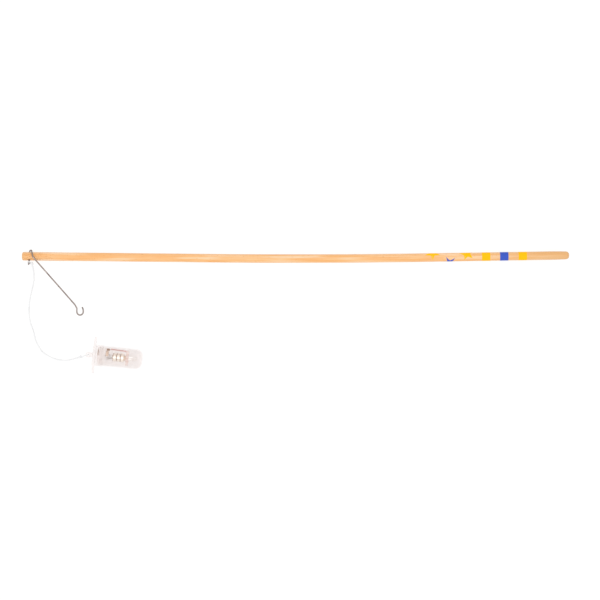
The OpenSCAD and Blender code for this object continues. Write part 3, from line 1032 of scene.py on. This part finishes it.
def make_spring():
    """A coil that narrows from the spigot to the first cell."""
    start, end, turns, steps = SPIGOT_END + 0.7, CELL_X - 0.3, 4, 160
    wide_r, narrow_r = 3.1, 1.9
    path = []
    for k in range(steps + 1):
        t = k / steps
        a, r = 2 * math.pi * turns * t, wide_r - (wide_r - narrow_r) * t
        path.append(lamp(start + (end - start) * t, r * math.cos(a), r * math.sin(a)))
    bm = bmesh.new()
    tube(bm, path, 0.25 * MM, 12)
    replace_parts(finish_piece("cell_spring_wound", bm, "barrel", SPRING),
                "cell_spring")


def folded_strip(name, *runs):
    """A stamped strip, folded into straight runs."""
    bm = bmesh.new()
    box(bm, *runs[0])
    strip = finish_piece(name, bm, "barrel", BRONZE)
    for run in runs[1:]:
        combine(strip, box_tool(*run), "UNION")
    soften(strip, 0.12 * MM)
    return strip


def make_contacts():
    """Stamped strips: one folded over by the spring, one behind the last cell."""
    x, y, top, thick = SPIGOT_END, 0.5, 4.6, 0.4
    strip = folded_strip("end_contact_folded", ((x, y, -2), (x + thick, 4, top)),
                         ((x, y, 1.7), (x + thick, 5.6, top)),
                         ((x, y, top - thick), (x + 2.7, 5.6, top)))
    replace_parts(strip, "end_contact")
    x, half_w, top = 34, 2.2, 3.2
    strip = folded_strip("far_contact_folded", ((x, -half_w, -top), (x + thick, half_w, top)),
                         ((x, -half_w, top - thick), (TRAY_END, half_w, top)))
    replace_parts(strip, "far_contact")


def make_switch_bridge():
    """A flat half ring in the skirt."""
    x, thick, inner, outer, steps = 9.2, 0.28, 3.9, 6.5, 40
    section = [(x, inner), (x, outer), (x + thick, outer), (x + thick, inner)]
    bm = bmesh.new()
    join_rings(bm, [[bm.verts.new(lamp(along, r * math.sin(a), r * math.cos(a)))
                     for along, r in section]
                    for a in (math.pi * k / steps for k in range(steps + 1))])
    bridge = finish_piece("switch_bridge_stamped", bm, "cap", BRONZE)
    soften(bridge, 0.06 * MM, 2)
    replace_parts(bridge, "switch_bridge")


def make_resistor():
    """A small resistor beside the end contact, with one lead cut short."""
    x, y, z = SPIGOT_END + 0.6, 6.7, 2.75
    body, cap_r, waist_r, lead_r = 3, 1.08, 0.92, 0.3
    end = x + body
    profile = [(x, 0), (x, 0.75), (x + 0.1, 0.95), (x + 0.3, cap_r), (x + 0.7, cap_r),
               (x + 0.9, waist_r), (end - 0.9, waist_r), (end - 0.7, cap_r), (end - 0.3, cap_r),
               (end - 0.1, 0.95), (end, 0.75), (end, lead_r), (x + RESISTOR_LEN, lead_r),
               (x + RESISTOR_LEN, 0)]
    bm = bmesh.new()
    turned(bm, profile, 40, y, z)
    start_grain_at(bm, x * MM)
    piece = finish_piece("resistor_banded", bm, "barrel", RESISTOR, 40)
    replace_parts(piece, "resistor")


def make_red_lead():
    """The insulated lead that lies on the trough's edge, from the resistor to the seat."""
    z = 2.25
    route = smooth_route([lamp(x, y, z) for x, y in (
        (21.3, 7.2), (24.5, 7.15), (29.5, 6.8), (33, 6.7), (TRAY_END, 6.3))], 10)
    bm = bmesh.new()
    tube(bm, route, 0.6 * MM, 20)
    lead = finish_piece("red_lead_insulated", bm, "barrel", RED, 50)
    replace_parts(lead, "red_lead")


def make_led():
    """A 5 mm LED's resin body, with a flange and a dome."""
    x, dome, flange_r = LED_X, 44.2, 2.9
    profile = [(x, 0), (x, flange_r - 0.15), (x + 0.15, flange_r), (x + 0.85, flange_r),
               (x + 1, flange_r - 0.15), (x + 1.05, LED_R)]
    profile += arc(dome, 0, LED_R, 90, 0, 16)[:-1] + [(dome + LED_R, 0)]
    bm = bmesh.new()
    turned(bm, profile, 64)
    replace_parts(finish_piece("led_moulded", bm, "barrel", RESIN, 30), "led")


def make_led_leads():
    """The LED's two wires, with the cup on one and the post on the other."""
    start, half_t, foot = 34.8, 0.25, 0.9
    bm = bmesh.new()
    for y, tip, cup in ((-0.9, 43.2, 0.75), (0.9, 43.6, 0.5)):
        box(bm, (start, y - half_t, -half_t), (tip - foot, y + half_t, half_t))
        turned(bm, [(tip - foot, 0), (tip - foot, 0.35), (tip - 0.3, cup), (tip, cup),
                    (tip - 0.15, cup * 0.6), (tip - 0.25, 0)], 20, y * 0.86)
    legs = finish_piece("led_leads_stamped", bm, "barrel", TINNED)
    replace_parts(legs, "led_leads")


def make_led_seat():
    """The disc that holds the LED, cut flat on top and with a slot at each side."""
    start, end, bore, outer, chamfer = TRAY_END, LED_X, 1.5, 7, 0.25
    bm = bmesh.new()
    turned(bm, [(start, bore), (start, outer - chamfer), (start + chamfer, outer),
                (end - chamfer, outer), (end, outer - chamfer), (end, bore), (start, bore)], 96)
    weld(bm)
    seat = finish_piece("led_seat_moulded", bm, "barrel", SEAT, 30)
    before, after, slot_y, half_slot = start - 1, end + 0.9, 3.1, 0.5
    combine(seat, box_tool((before, -8, 4.8), (after, 8, 9)), "DIFFERENCE")
    for y in (-slot_y, slot_y):
        combine(seat, box_tool((before, y - half_slot, -half_slot),
                               (after, y + half_slot, half_slot)), "DIFFERENCE")
    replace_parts(seat, "led_seat")


make_lens()
make_wing_cap()
make_carrier()
make_cells()
make_spring()
make_contacts()
make_switch_bridge()
make_resistor()
make_red_lead()
make_led()
make_led_leads()
make_led_seat()


# ---------- Table and light ----------

def make_stage():
    """The table, wide enough to fill the view."""
    bm = bmesh.new()
    bmesh.ops.create_grid(bm, x_segments=1, y_segments=1, size=3)
    table = mesh_object("table_top", bm)
    table.data.materials.append(table_top())


def area_light(name, place, aim, size, power):
    """A round soft light at a place, aimed at a point."""
    data = bpy.data.lights.new(name, "AREA")
    data.shape, data.size, data.energy = "DISK", size, power
    light = bpy.data.objects.new(name, data)
    light.location = place
    light.rotation_euler = (Vector(aim) - Vector(place)).to_track_quat("-Z", "Y").to_euler()
    bpy.context.scene.collection.objects.link(light)


def make_light():
    """Even white light from all round, and a soft light above the hook end."""
    world = bpy.data.worlds.new("studio")
    bpy.context.scene.world = world
    world.use_nodes = True
    sky = world.node_tree.nodes["Background"]
    sky.inputs["Color"].default_value = (1, 1, 1, 1)
    sky.inputs["Strength"].default_value = 1.05
    area_light("top_soft", (-0.3, -0.25, 1.9), (0, 0, 0), 1.2, 9.5)
    bpy.context.scene.view_settings.view_transform = "Standard"


make_stage()
make_light()
